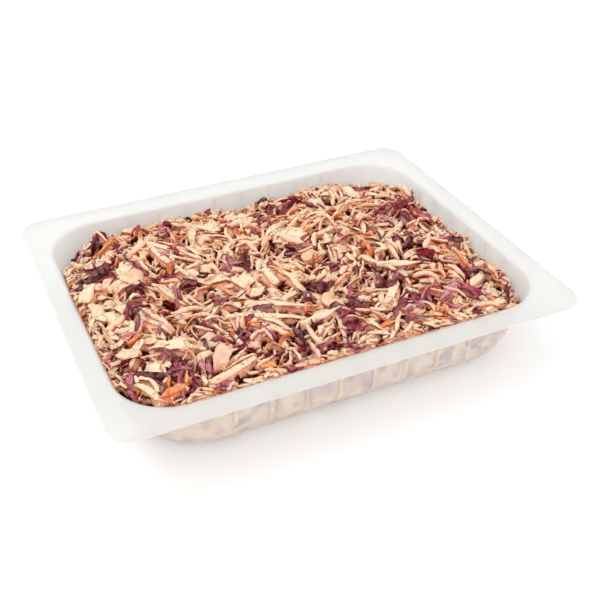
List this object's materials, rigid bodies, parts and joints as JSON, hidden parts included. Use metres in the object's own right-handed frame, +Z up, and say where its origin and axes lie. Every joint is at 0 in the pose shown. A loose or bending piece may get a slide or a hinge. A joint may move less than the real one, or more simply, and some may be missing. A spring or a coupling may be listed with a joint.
{
  "type": "coleslaw in a deli tray",
  "caption": "Dressed coleslaw of shredded white and red cabbage, carrot and dill, heaped in a shallow translucent plastic tray with a flat sealing flange and ribbed walls.",
  "frame": {"origin": "middle of the tray's flat underside, where it stands on the table", "axes": "+X along the tray's long side, +Y across it towards the back, where the heap is lowest, +Z up out of the tray"},
  "size_m": [0.325, 0.265, 0.0547],
  "materials": {
    "tray": "natural thermoformed polypropylene, translucent, satin",
    "dressing": "creamy dressing over shredded vegetables, wet and uneven",
    "white_cabbage": "cut white cabbage, damp, stained pink by the red cabbage",
    "red_cabbage": "cut red cabbage, damp, waxy, dark purple",
    "carrot": "grated carrot, damp, coated in dressing",
    "dill": "chopped dill, dark green, matte"
  },
  "bodies": {
    "root": {"tray": "tray", "coleslaw": "dressing"}
  },
  "joints": []
}
